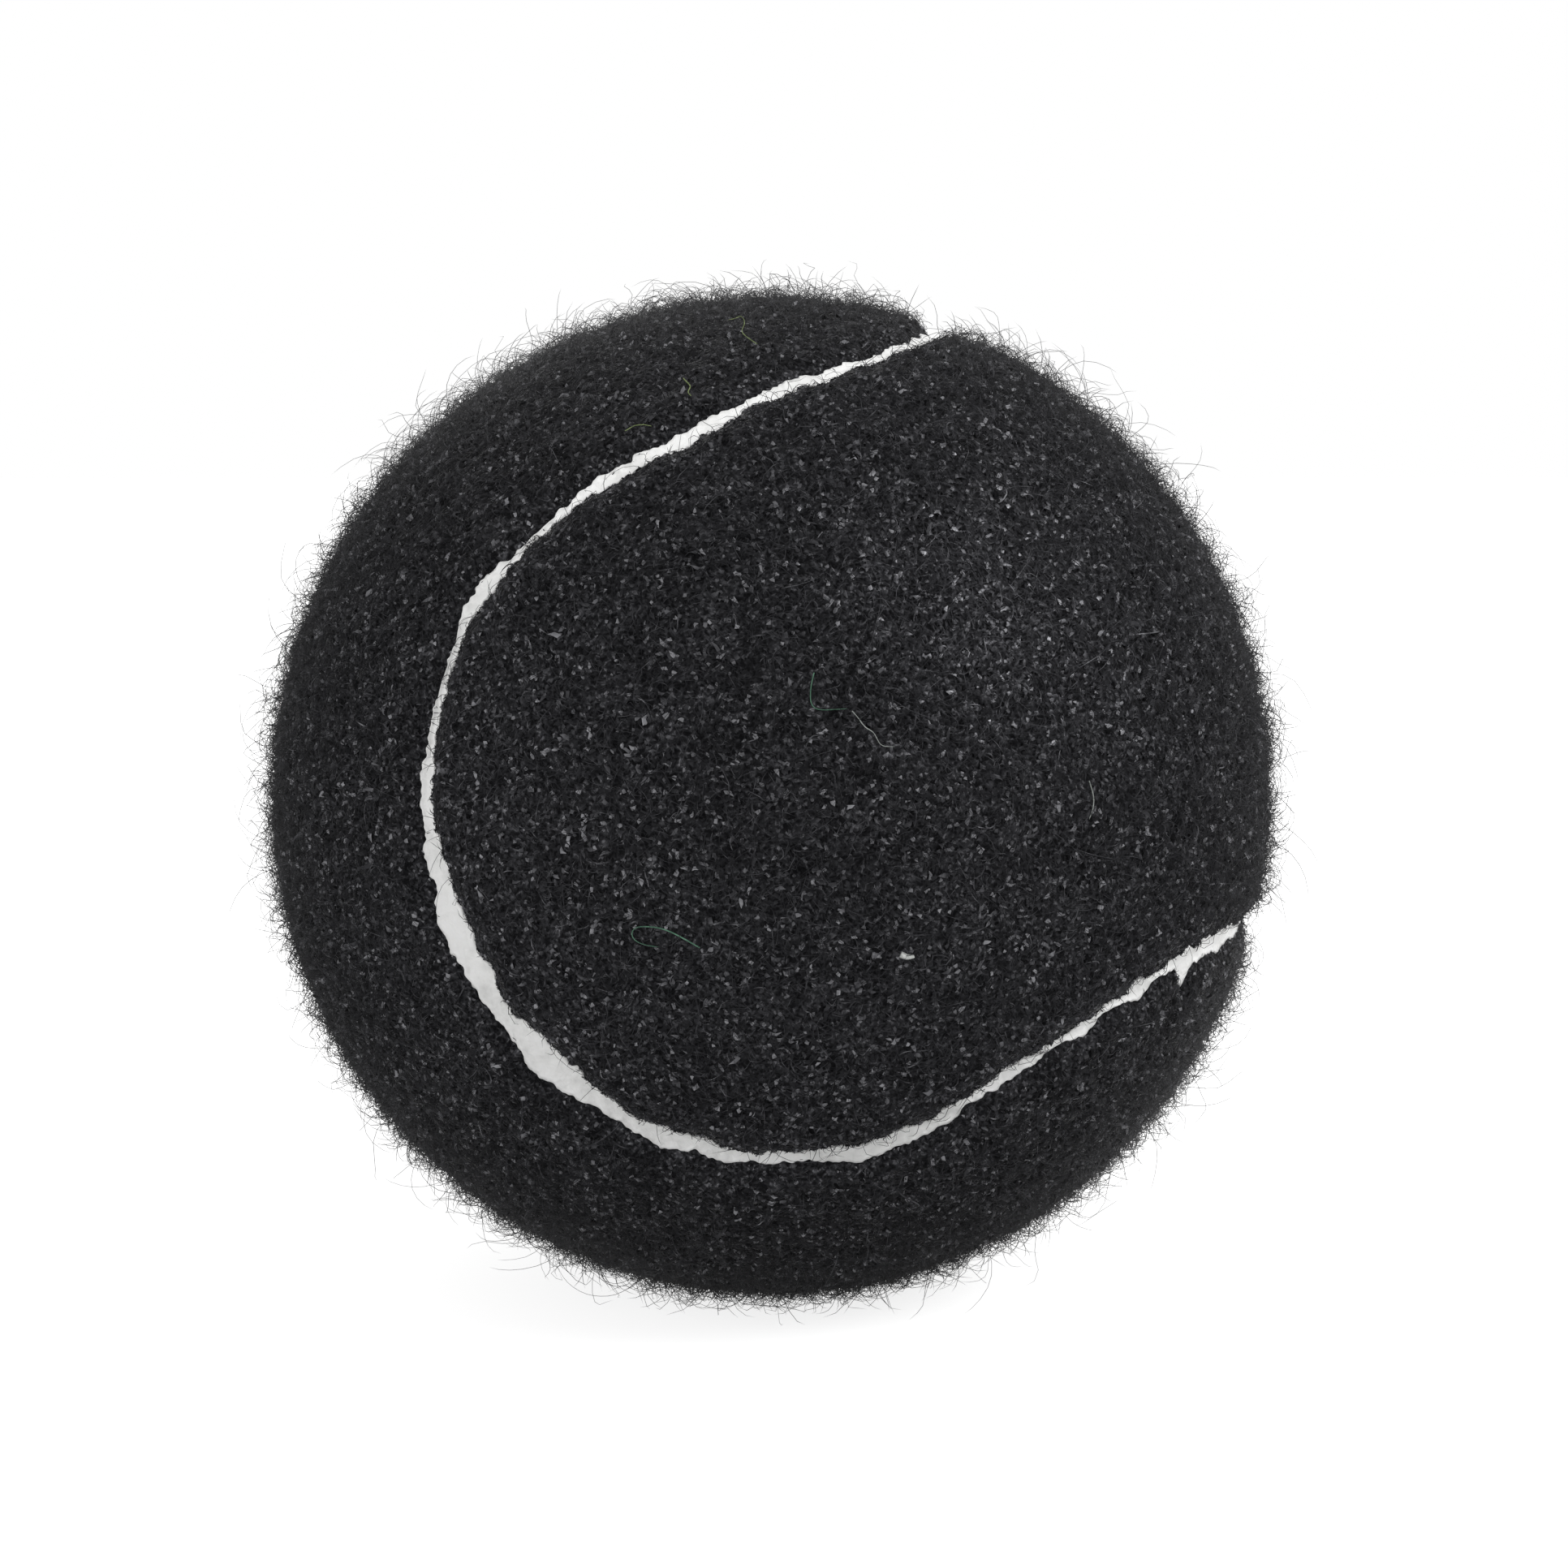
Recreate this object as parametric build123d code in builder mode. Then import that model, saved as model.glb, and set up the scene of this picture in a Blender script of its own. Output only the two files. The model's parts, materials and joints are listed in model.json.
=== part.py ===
from build123d import *

import os
from math import atan, cos, degrees, radians, sin, sqrt

# A tennis ball: a hollow rubber core in two halves, a coat of cement, two dumbbell panels of
# felt (base cloth and nap) and the seam of white cement between their edges.
# Millimetres, +Z up, origin at the centre of the ball, which lies on its lowest point.

# The layers, from the outside inwards
BALL_DIAMETER = 67.0
NAP_HEIGHT = 2.4
CLOTH_THICKNESS = 0.8
CEMENT_COAT = 0.2
CORE_WALL = 3.4

# The joint between the two core halves: cement between the rims and in a bevel inside them
JOINT_CEMENT = 0.3
RIM_BEVEL = 0.8

# The seam, and the nap that rolls down to it on both sides
SEAM_WIDTH = 1.0
SEAM_DEPTH = 1.4
SEAM_CROWN = 0.12
SHOULDER_WIDTH = 2.5
SHOULDER_SWELL = 0.25

# The seam's line is four circle arcs, one round each lobe, tangent where they meet.
# In the seam's frame the lobes lie 90 degrees apart, tilted up and down in turn by this angle.
LOBE_TILT = 2.5

# How the ball lies: the turn of the seam's frame about X, then its own Y, then its own Z
LIE_X = -20.2
LIE_Y = 60.1
LIE_Z = 9.7

# How far the shape that cuts the groove runs past the layers that it cuts
TOOL_CLEARANCE = 0.2

nap_radius = BALL_DIAMETER / 2
cloth_radius = nap_radius - NAP_HEIGHT
coat_radius = cloth_radius - CLOTH_THICKNESS
core_radius = coat_radius - CEMENT_COAT
bore_radius = core_radius - CORE_WALL

seam_frame = Plane(Location((0, 0, 0), (LIE_X, LIE_Y, LIE_Z)))
waist_axis = Axis((0, 0, 0), seam_frame.z_dir)
lobe_sweep = 180 + 2 * degrees(atan(sin(radians(LOBE_TILT))))


def seam_direction(azimuth, elevation):
    """The direction with these angles, in degrees, in the seam's frame."""
    a, e = radians(azimuth), radians(elevation)
    return seam_frame.from_local_coords(Vector(cos(e) * cos(a), cos(e) * sin(a), sin(e)))


def lobe_start(number):
    """A lobe's axis, and the plane across its arc's start, with Y out through the seam."""
    side = 1 if number % 2 == 0 else -1
    middle = seam_direction(90 * number, side * LOBE_TILT)
    start = seam_direction(90 * number + side * 45, 0)
    across = middle.cross(start)
    return Axis((0, 0, 0), middle), Plane((0, 0, 0), x_dir=start.cross(across), z_dir=across)


lobes = [lobe_start(number) for number in range(4)]

# Core halves: ground rims, bevelled inside where the cement squeezes out
half_gap = JOINT_CEMENT / 2
rim_outside = (sqrt(core_radius**2 - half_gap**2), half_gap)
rim_inside = (sqrt(bore_radius**2 - half_gap**2) + RIM_BEVEL, half_gap)
bevel_height = half_gap + RIM_BEVEL
bevel_top = (sqrt(bore_radius**2 - bevel_height**2), bevel_height)

with BuildPart() as core_upper_half:
    with BuildSketch(Plane.XZ):
        with BuildLine():
            Line(rim_inside, rim_outside)
            RadiusArc(rim_outside, (0, core_radius), -core_radius)
            Line((0, core_radius), (0, bore_radius))
            RadiusArc((0, bore_radius), bevel_top, bore_radius)
            Line(bevel_top, rim_inside)
        make_face()
    revolve(axis=Axis.Z)

with BuildPart() as core_lower_half:
    mirror(core_upper_half.part, about=Plane.XY)

# Core joint cement: a flat ring between the rims, with a bead in their bevels
with BuildPart() as core_joint_cement:
    with BuildSketch(Plane.XZ):
        with BuildLine():
            upper_rim = Polyline(bevel_top, rim_inside, rim_outside)
            mirror(upper_rim, about=Plane.XZ)
            ThreePointArc(rim_outside, (core_radius, 0), (rim_outside[0], -half_gap))
            ThreePointArc(bevel_top, (bore_radius, 0), (bevel_top[0], -bevel_height))
        make_face()
    revolve(axis=Axis.Z)

# Cement coat all round the core
with BuildPart() as core_cement_coat:
    Sphere(coat_radius)
    Sphere(core_radius, mode=Mode.SUBTRACT)

# Seam: a strip of cement from the coat up to just below the nap, with a crowned top
seam_half = SEAM_WIDTH / 2
seam_edge = nap_radius - SEAM_DEPTH
seam_root = coat_radius - TOOL_CLEARANCE
channel = [
    (seam_half, seam_edge),
    (seam_half, seam_root),
    (-seam_half, seam_root),
    (-seam_half, seam_edge),
]

with BuildPart() as seam_strip:
    for lobe_axis, start_plane in lobes:
        with BuildSketch(start_plane):
            with BuildLine():
                Polyline(channel)
                ThreePointArc(
                    (-seam_half, seam_edge), (0, seam_edge + SEAM_CROWN), (seam_half, seam_edge)
                )
            make_face()
        revolve(axis=lobe_axis, revolution_arc=lobe_sweep)
    Sphere(coat_radius, mode=Mode.SUBTRACT)

# Seam groove: the room for the strip, opening into the rolled shoulders of the nap
groove_half = seam_half + SHOULDER_WIDTH
groove_top = nap_radius + TOOL_CLEARANCE
groove_lip = sqrt(groove_top**2 - groove_half**2)

with BuildPart() as seam_groove:
    for lobe_axis, start_plane in lobes:
        with BuildSketch(start_plane):
            with BuildLine():
                Polyline(channel)
                SagittaArc((-groove_half, groove_lip), (-seam_half, seam_edge), SHOULDER_SWELL)
                SagittaArc((seam_half, seam_edge), (groove_half, groove_lip), SHOULDER_SWELL)
                Polyline(
                    (groove_half, groove_lip),
                    (0, groove_top + TOOL_CLEARANCE),
                    (-groove_half, groove_lip),
                )
            make_face()
        revolve(axis=lobe_axis, revolution_arc=lobe_sweep)

# Base cloth and nap: two shells, each parted by the groove into a left and a right panel
with BuildPart() as cloth_layer:
    Sphere(cloth_radius)
    Sphere(coat_radius, mode=Mode.SUBTRACT)
    add(seam_groove.part, mode=Mode.SUBTRACT)

with BuildPart() as nap_layer:
    Sphere(nap_radius)
    Sphere(cloth_radius, mode=Mode.SUBTRACT)
    add(seam_groove.part, mode=Mode.SUBTRACT)

with BuildPart() as left_panel_cloth:
    add(cloth_layer.solids().sort_by(waist_axis)[0])

with BuildPart() as right_panel_cloth:
    add(cloth_layer.solids().sort_by(waist_axis)[-1])

with BuildPart() as left_panel_nap:
    add(nap_layer.solids().sort_by(waist_axis)[0])

with BuildPart() as right_panel_nap:
    add(nap_layer.solids().sort_by(waist_axis)[-1])

os.makedirs("parts", exist_ok=True)

pieces = {
    "core_upper_half": core_upper_half,
    "core_lower_half": core_lower_half,
    "core_joint_cement": core_joint_cement,
    "core_cement_coat": core_cement_coat,
    "left_panel_cloth": left_panel_cloth,
    "right_panel_cloth": right_panel_cloth,
    "left_panel_nap": left_panel_nap,
    "right_panel_nap": right_panel_nap,
    "seam_strip": seam_strip,
}
for name, piece in pieces.items():
    piece.part.label = name
    export_step(piece.part, f"parts/{name}.step")
    print(name, len(piece.solids()), "solid,", round(piece.part.volume), "mm3")
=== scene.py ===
# %% [markdown]
# This lesson dresses a black tennis ball. Its solids are already there at their real size: a rubber
# core, cement, base cloth, two shells of nap and a seam. The shells are smooth, but a real ball is a
# thicket of wool and nylon fibres. So each shell gives way to a felt body with tens of thousands of
# modelled fibres on it, and the plain seam gives way to one with torn edges. Sizes are in millimetres
# until a mesh is made. Materials count in metres.

# %% Load the ball's solids
import json
from math import acos, asin, atan, cos, pi, radians, sin, sqrt, tan

import bmesh
import bpy
import numpy as np
from mathutils import Matrix, Vector

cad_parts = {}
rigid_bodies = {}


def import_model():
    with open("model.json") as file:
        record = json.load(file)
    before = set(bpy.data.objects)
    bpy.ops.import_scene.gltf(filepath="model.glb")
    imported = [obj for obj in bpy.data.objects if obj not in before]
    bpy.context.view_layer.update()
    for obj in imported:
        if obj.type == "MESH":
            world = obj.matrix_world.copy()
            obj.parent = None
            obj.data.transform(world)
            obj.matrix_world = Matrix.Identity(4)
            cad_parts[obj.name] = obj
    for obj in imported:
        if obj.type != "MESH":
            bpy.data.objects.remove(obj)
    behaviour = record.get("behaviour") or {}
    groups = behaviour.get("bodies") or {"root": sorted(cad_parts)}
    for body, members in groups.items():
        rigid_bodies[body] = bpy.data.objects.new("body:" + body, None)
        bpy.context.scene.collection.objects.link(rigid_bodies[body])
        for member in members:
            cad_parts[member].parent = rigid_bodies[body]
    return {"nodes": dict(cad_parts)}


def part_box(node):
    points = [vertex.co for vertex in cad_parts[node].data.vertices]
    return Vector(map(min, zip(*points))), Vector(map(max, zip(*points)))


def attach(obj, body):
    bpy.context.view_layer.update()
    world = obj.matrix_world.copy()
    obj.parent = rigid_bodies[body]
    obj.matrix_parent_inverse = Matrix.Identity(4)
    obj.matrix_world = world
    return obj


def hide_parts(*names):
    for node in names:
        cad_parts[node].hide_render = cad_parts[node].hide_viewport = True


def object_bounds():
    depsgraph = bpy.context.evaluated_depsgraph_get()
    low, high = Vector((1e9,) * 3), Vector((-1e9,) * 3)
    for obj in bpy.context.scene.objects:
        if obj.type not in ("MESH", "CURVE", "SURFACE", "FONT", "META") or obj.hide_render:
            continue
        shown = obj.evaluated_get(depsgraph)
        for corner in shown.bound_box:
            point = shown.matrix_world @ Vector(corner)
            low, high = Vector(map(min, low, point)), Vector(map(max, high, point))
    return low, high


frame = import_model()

MM = 0.001
cad_low, cad_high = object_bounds()
BALL_RADIUS = (cad_high.z - cad_low.z) / 2 / MM
print("ball radius", round(BALL_RADIUS, 2), "mm, nodes", sorted(frame["nodes"]))

# %% [markdown]
# The seam of a tennis ball is one closed line that parts the cover into two equal dumbbells. It is four
# circle arcs, one round each lobe, which touch end to end. Almost everything on the ball depends on how
# far a place is from that line. So one helper turns any direction from the ball's centre into
# millimetres along and across the seam, and another turns places along the seam back into directions.

# %% Place the seam
LOBES = 4
LOBE_TILT = radians(2.5)
LIE_X, LIE_Y, LIE_Z = radians(-20.2), radians(60.1), radians(9.7)
SEAM_SINK = 1.1
# Added to an arc's distance from a place that lies past the arc's ends, so that another arc is nearer.
PAST_ARC_END = 9

lie = Matrix.Rotation(LIE_X, 3, "X") @ Matrix.Rotation(LIE_Y, 3, "Y") @ Matrix.Rotation(LIE_Z, 3, "Z")
lobe_angle = acos(-sin(LOBE_TILT) ** 2) / 2
half_sweep = pi / 2 + atan(sin(LOBE_TILT))
seam_radius = BALL_RADIUS - SEAM_SINK
arc_length = 2 * half_sweep * sin(lobe_angle) * seam_radius
seam_length = LOBES * arc_length


def lobe_frame(number):
    """A lobe's middle, the way from it to its far side, and the way along the seam there."""
    tilt = LOBE_TILT if number % 2 == 0 else -LOBE_TILT
    turn = Matrix.Rotation(number * pi / 2, 3, "Z") @ Matrix.Rotation(-tilt, 3, "Y")
    far = Vector((0, 0, 1 if number % 2 == 0 else -1))
    return [np.array(lie @ turn @ way) for way in (Vector((1, 0, 0)), far, Vector((0, 1, 0)))]


lobes = [lobe_frame(number) for number in range(LOBES)]


def seam_place(directions):
    """Millimetres along the seam and across it towards the right panel, and that way across."""
    nearest = np.full(len(directions), np.inf)
    along = np.zeros(len(directions))
    across = np.zeros(len(directions))
    way = np.zeros_like(directions)
    for number, (middle, far, side) in enumerate(lobes):
        inwards = 1 if number % 2 else -1
        cosine = np.clip(directions @ middle, -1, 1)
        angle = np.arccos(cosine)
        turn = np.arctan2(directions @ side, directions @ far)
        off = np.abs(angle - lobe_angle) + PAST_ARC_END * (np.abs(turn) > half_sweep)
        here = off < nearest
        nearest[here] = off[here]
        along[here] = (number + turn[here] / half_sweep / 2 + 0.5) * arc_length
        across[here] = inwards * (lobe_angle - angle[here]) * seam_radius
        to_middle = middle - cosine[here, None] * directions[here]
        way[here] = inwards * to_middle / np.sin(angle[here])[:, None]
    return along, across, way


def seam_line(along):
    """The directions of these places on the seam, and the way across it towards the right panel."""
    number = np.floor(along / arc_length).astype(int) % LOBES
    turn = (along / arc_length - np.floor(along / arc_length) - 0.5) * 2 * half_sweep
    middle, far, side = (np.array([lobe[i] for lobe in lobes])[number] for i in range(3))
    outwards = np.cos(turn)[:, None] * far + np.sin(turn)[:, None] * side
    point = cos(lobe_angle) * middle + sin(lobe_angle) * outwards
    to_middle = sin(lobe_angle) * middle - cos(lobe_angle) * outwards
    return point, to_middle * np.where(number % 2, 1, -1)[:, None]


print("seam length", round(seam_length, 1), "mm")

# %% [markdown]
# The cement squeezes out unevenly, so the white line swells and thins and its edges look torn. Each row
# below is a place along the seam and where the white's left and right edges lie across it. On the side
# that shows, the rows were read off the photograph, and on the other side they are guessed. Seeded
# ripples add the tearing all round.

# %% Shape the seam's edges
SEAM_EDGES = [
    (0, 0.0, 0.75), (3, 0.15, 0.95), (6.4, 0.4, 0.6), (8, -0.15, 0.55), (9.7, 0.4, 0.8), (11.3, 0.3, 0.6),
    (12.9, -0.25, 1.05), (14.6, 0.2, 0.7), (16.8, 0.1, 0.7), (17.9, -2.1, 0.7), (19.0, -0.6, 0.6),
    (20.2, -0.65, 0.4), (21.3, -1.1, 0.3), (22.6, -1.3, 0.1), (24.2, -1.05, 0.05), (26.2, -1.5, -0.35),
    (29.5, -1.25, -0.75), (34, -0.8, 0.0),
    (40, -0.5, 0.4), (70, -0.6, 0.6), (100, -0.4, 0.5), (130, -0.8, 0.7), (160, -0.4, 0.5),
    (190, 0.4, 1.1), (197, 0.6, 1.4), (203, 0.55, 1.0), (207, -0.15, 0.75), (210, -0.65, 0.4),
    (213.5, -0.45, -0.1), (216, -0.65, 0.6), (217.5, -0.4, 0.75), (220, -0.45, 0.4), (223, -0.25, 0.8),
    (225, -0.35, 0.45), (226.5, 0.35, 0.6), (229, 0.25, 0.55), (231.5, 0.15, 0.45), (233, -0.85, 0.5),
    (234.7, -0.75, 0.4), (236.5, -0.65, 0.0), (238, 0.1, 0.3), (241, 0.1, 0.3), (243, 0.05, 0.65),
    (247, -0.3, 0.5), (251, -0.25, 0.95), (254, -0.35, 1.4), (255.5, -0.85, 1.4), (260, -0.6, 1.35),
    (263.5, -0.4, 0.75), (265.5, -1.2, 1.65), (268.3, -1.15, 1.15), (271, -0.5, 0.8), (273, -0.65, 0.3),
    (276, -1.4, 0.35), (277.6, -0.6, 0.7), (279.5, -1.15, -0.1), (284, -0.5, 0.2), (288, -1.35, 0.3),
    (290, -0.8, 0.25), (293, -0.65, 0.6), (295, 0.2, 0.7),
]
SEAM_SHIFT = 0.1
LEAST_WIDTH = 0.3
TEAR, TEAR_LENGTHS, TEAR_WAVES = 0.13, (0.4, 6.0), 70
LEFT_TEAR_SEED, RIGHT_TEAR_SEED = 1, 2
EDGE_STEP = 0.5


def torn(along, seed):
    """A ragged line round the seam, whose long waves are stronger than its short ones."""
    rng = np.random.default_rng(seed)
    lengths = np.exp(rng.uniform(*np.log(TEAR_LENGTHS), TEAR_WAVES))
    phases = rng.uniform(0, 2 * pi, TEAR_WAVES)
    total = np.zeros(len(along))
    for length, phase in zip(lengths, phases):
        cycles = round(seam_length / length)
        total += sqrt(length) * np.cos(2 * pi * cycles * along / seam_length + phase)
    return TEAR * total * sqrt(2 / lengths.sum())


def seam_edges(along):
    """Where the white line's left edge, right edge and middle lie across the seam at these places."""
    places, lefts, rights = np.array(SEAM_EDGES).T
    left = np.interp(along, places, lefts, period=seam_length)
    right = np.interp(along, places, rights, period=seam_length)
    centre = (left + right) / 2 + SEAM_SHIFT
    half = (right - left) / 2
    to_left = np.maximum(half + torn(along, LEFT_TEAR_SEED), LEAST_WIDTH / 2)
    to_right = np.maximum(half + torn(along, RIGHT_TEAR_SEED), LEAST_WIDTH / 2)
    return centre - to_left, centre + to_right, centre


edges = seam_edges(np.arange(0, seam_length, EDGE_STEP))
widths = edges[1] - edges[0]
print("white line", widths.min().round(2), "to", widths.max().round(2), "mm wide")

# %% [markdown]
# Materials come next, because every piece needs one when it is made. A small class lets the shader sums
# read like ordinary Python: multiplying two values adds a Math node, and any other node is one call.


# %% A class for shader sums
class Shade:
    """One output of a shader node. Sums of shades add Math nodes, and node() adds any other node."""

    def __init__(self, tree, socket=None):
        self.tree = tree
        self.socket = socket

    def node(self, kind, settings=None, inputs=None, output=0):
        new = self.tree.nodes.new(kind)
        for name, value in (settings or {}).items():
            if name == "stops":
                for stop, (place, colour) in zip(Shade.stops(new, len(value)), value):
                    stop.position = place
                    stop.color = (*colour, 1)
            else:
                setattr(new, name, value)
        for name, value in (inputs or {}).items():
            if isinstance(value, Shade):
                self.tree.links.new(value.socket, new.inputs[name])
            else:
                new.inputs[name].default_value = value
        return Shade(self.tree, new.outputs[output])

    @staticmethod
    def stops(ramp, count):
        elements = ramp.color_ramp.elements
        while len(elements) < count:
            elements.new(1)
        return elements

    def math(self, operation, first, second):
        return self.node("ShaderNodeMath", {"operation": operation}, {0: first, 1: second})

    def __add__(self, other):
        return self.math("ADD", self, other)

    def __sub__(self, other):
        return self.math("SUBTRACT", self, other)

    def __rsub__(self, other):
        return self.math("SUBTRACT", other, self)

    def __mul__(self, other):
        return self.math("MULTIPLY", self, other)

    __radd__ = __add__
    __rmul__ = __mul__


# %% [markdown]
# Most finishes here are built alike: a material, noise through the ball, a ramp of colours and a bump.
# Each of the four gets a helper, so that a finish below is only its own numbers.


# %% Helpers for materials
def new_material(name, **constants):
    """A material with these constants on its shader, the start of its sums, and its shader."""
    material = bpy.data.materials.new(name)
    material.use_nodes = True
    shader = material.node_tree.nodes["Principled BSDF"]
    for socket, value in constants.items():
        shader.inputs[socket.replace("_", " ")].default_value = value
    return material, Shade(material.node_tree), shader


def feed(shade, shader, socket):
    """Links a shade to one socket of the shader."""
    shade.tree.links.new(shade.socket, shader.inputs[socket])


def noise(start, scale, detail, warp=0.0):
    """Noise through the ball, with about this many lumps to the metre."""
    place = start.node("ShaderNodeTexCoord", output="Object")
    inputs = {"Vector": place, "Scale": scale, "Detail": detail, "Distortion": warp}
    return start.node("ShaderNodeTexNoise", {}, inputs)


def ramp(start, stops, amount):
    """The colour between these stops for an amount."""
    return start.node("ShaderNodeValToRGB", {"stops": stops}, {"Fac": amount})


def bump(start, height, depth):
    """A bump of full strength from this height, in metres of depth."""
    inputs = {"Height": height, "Distance": depth, "Strength": 1.0}
    return start.node("ShaderNodeBump", {}, inputs, "Normal")


# %% [markdown]
# The felt body shows only as dark gaps between the fibres. Its tone is set lower than the fibres' tones,
# which paints the shade that falls deep between them. Warped noise at the scale of a fibre gives it
# matted swirls, and a coarser one makes it a little uneven, as dyed wool is. Each fibre takes its own
# tone from its map, and the lightest of those tones are painted glints. Black wool still shines, but in
# its own dark tone, so the gloss is part metal, which tints it, and a sheen stands for the finest down.
# A plain gloss would lay a grey veil over the ball, so it is off.

# %% Felt and fibre materials
# Dark to light tones, which differ at random. The two lightest stops are painted glints: light specks for
# the shine of single fibres.
NAP_TONES_AND_GLINTS = [
    (0.3, (0.0088, 0.0088, 0.0097)),
    (0.5, (0.031, 0.031, 0.0338)),
    (0.6, (0.066, 0.066, 0.0713)),
    (0.7, (0.145, 0.145, 0.155)),
    (0.8, (0.28, 0.28, 0.297)),
]
NAP_GLOSS = {
    "Metallic": 0.3, "Specular_IOR_Level": 0.0, "Specular_Tint": (0.0, 0.0, 0.0, 1),
    "Sheen_Weight": 0.26, "Sheen_Roughness": 0.35, "Sheen_Tint": (1.0, 1.0, 1.0, 1),
}
FELT_ROUGHNESS, FIBRE_ROUGHNESS = 0.45, 0.35
SWIRL = {"scale": 3300.0, "detail": 1.0, "warp": 0.6}
PATCH = {"scale": 500.0, "detail": 2.0}
PATCH_SHARE = 0.3
# Painted shade: the felt body's tones are moved this far down, darker than the fibres, for the shade deep
# in the nap.
GAP_SHADE_DROP = 0.23
FELT_BUMP = 0.00015
FIBRE_MAP = "OFBake"

felt, start, shader = new_material("black_felt", Roughness=FELT_ROUGHNESS, **NAP_GLOSS)
swirl = noise(start, **SWIRL)
patch = noise(start, **PATCH)
feed(ramp(start, NAP_TONES_AND_GLINTS, swirl + patch * PATCH_SHARE - GAP_SHADE_DROP), shader, "Base Color")
feed(bump(start, swirl, FELT_BUMP), shader, "Normal")

fibre_black, start, shader = new_material("black_fibre", Roughness=FIBRE_ROUGHNESS, **NAP_GLOSS)
lay = start.node("ShaderNodeUVMap", {"uv_map": FIBRE_MAP})
own_tone = start.node("ShaderNodeSeparateXYZ", {}, {"Vector": lay}, "X")
feed(ramp(start, NAP_TONES_AND_GLINTS, own_tone), shader, "Base Color")
print("felt and fibre materials made")

# %% [markdown]
# The seam is matt cement, not paint: off-white, faintly mottled, with a fine grain. Two noises make it,
# because dirt settles in larger patches than the grain.

# %% Seam cement
CEMENT_TONES = [(0.3, (0.74, 0.74, 0.73)), (0.5, (0.92, 0.92, 0.91)), (0.7, (0.95, 0.95, 0.95))]
CEMENT_ROUGHNESS, CEMENT_SHINE = 0.8, 0.3
CEMENT_GRAIN = {"scale": 1800.0, "detail": 4.0}
CEMENT_MOTTLE = {"scale": 300.0, "detail": 2.0}
GRAIN_SHARE = 0.4
CEMENT_BUMP = 0.00018

cement, start, shader = new_material(
    "seam_cement", Roughness=CEMENT_ROUGHNESS, Specular_IOR_Level=CEMENT_SHINE
)
grain = noise(start, **CEMENT_GRAIN)
mottle = noise(start, **CEMENT_MOTTLE)
feed(ramp(start, CEMENT_TONES, grain * GRAIN_SHARE + mottle * (1 - GRAIN_SHARE)), shader, "Base Color")
feed(bump(start, grain, CEMENT_BUMP), shader, "Normal")
print("seam cement made")

# %% [markdown]
# The inner pieces never show, yet the rubber, the rubber cement and the base cloth each get a finish,
# so that the ball can be cut open later. The rubber and its cement are dull and mottled. The cloth is a
# weave of two waves that cross.

# %% Inner finishes
MOTTLE_ENDS = (0.35, 0.65)
MOTTLE_DETAIL = 4.0


def mottled(name, dark, light, scale, roughness, depth):
    """A dull moulded finish between two colours, with a grain of that depth."""
    material, start, shader = new_material(name, Roughness=roughness)
    grain = noise(start, scale, MOTTLE_DETAIL)
    feed(ramp(start, list(zip(MOTTLE_ENDS, (dark, light))), grain), shader, "Base Color")
    feed(bump(start, grain, depth), shader, "Normal")
    return material


core_rubber = mottled(
    "core_rubber", dark=(0.06, 0.06, 0.065), light=(0.13, 0.13, 0.135), scale=500.0, roughness=0.75,
    depth=0.0001,
)
rubber_cement = mottled(
    "rubber_cement", dark=(0.5, 0.44, 0.33), light=(0.7, 0.63, 0.5), scale=400.0, roughness=0.6,
    depth=0.0002,
)

CLOTH_TONES = [(0.0, (0.02, 0.02, 0.021)), (0.8, (0.07, 0.07, 0.075))]
CLOTH_ROUGHNESS = 0.9
THREAD_SCALE = 500.0
CLOTH_BUMP = 0.0002

base_cloth, start, shader = new_material("base_cloth", Roughness=CLOTH_ROUGHNESS)
thread = {"Vector": start.node("ShaderNodeTexCoord", output="Object"), "Scale": THREAD_SCALE}
warp = start.node("ShaderNodeTexWave", {"bands_direction": "X"}, thread)
weft = start.node("ShaderNodeTexWave", {"bands_direction": "Z"}, thread)
weave = warp * weft
feed(ramp(start, CLOTH_TONES, weave), shader, "Base Color")
feed(bump(start, weave, CLOTH_BUMP), shader, "Normal")

INNER_FINISH = {
    "core_upper_half": core_rubber,
    "core_lower_half": core_rubber,
    "core_joint_cement": rubber_cement,
    "core_cement_coat": rubber_cement,
    "left_panel_cloth": base_cloth,
    "right_panel_cloth": base_cloth,
}
for node, material in INNER_FINISH.items():
    frame["nodes"][node].material_slots[0].material = material
print("inner finishes set on", len(INNER_FINISH), "nodes")

# %% [markdown]
# Every mesh is made from arrays, because loops over a million points in Python would take minutes. One
# helper does that, and also hands the piece to the ball's body and gives it its material.
# Another makes lumps through space, as a sum of waves that run every way.

# %% Helpers for pieces
LUMP_SPREAD = (0.6, 1.7)
LUMP_WAVES = 64


def new_piece(name, points, faces, material, lay=None, normals=None):
    """A smooth mesh from points in millimetres, riding on the ball, with a map and normals if given."""
    mesh = bpy.data.meshes.new(name)
    mesh.vertices.add(len(points))
    mesh.vertices.foreach_set("co", (points * MM).astype(np.float32).ravel())
    mesh.loops.add(faces.size)
    mesh.loops.foreach_set("vertex_index", faces.astype(np.int32).ravel())
    mesh.polygons.add(len(faces))
    mesh.polygons.foreach_set("loop_start", np.arange(0, faces.size, faces.shape[1], dtype=np.int32))
    mesh.polygons.foreach_set("use_smooth", np.ones(len(faces), bool))
    mesh.update(calc_edges=True)
    if lay is not None:
        mesh.uv_layers.new(name=FIBRE_MAP).data.foreach_set("uv", lay.astype(np.float32).ravel())
    if normals is not None:
        mesh.normals_split_custom_set_from_vertices(normals)
    mesh.materials.append(material)
    piece = bpy.data.objects.new(name, mesh)
    bpy.context.collection.objects.link(piece)
    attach(piece, "root")
    return piece


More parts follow.
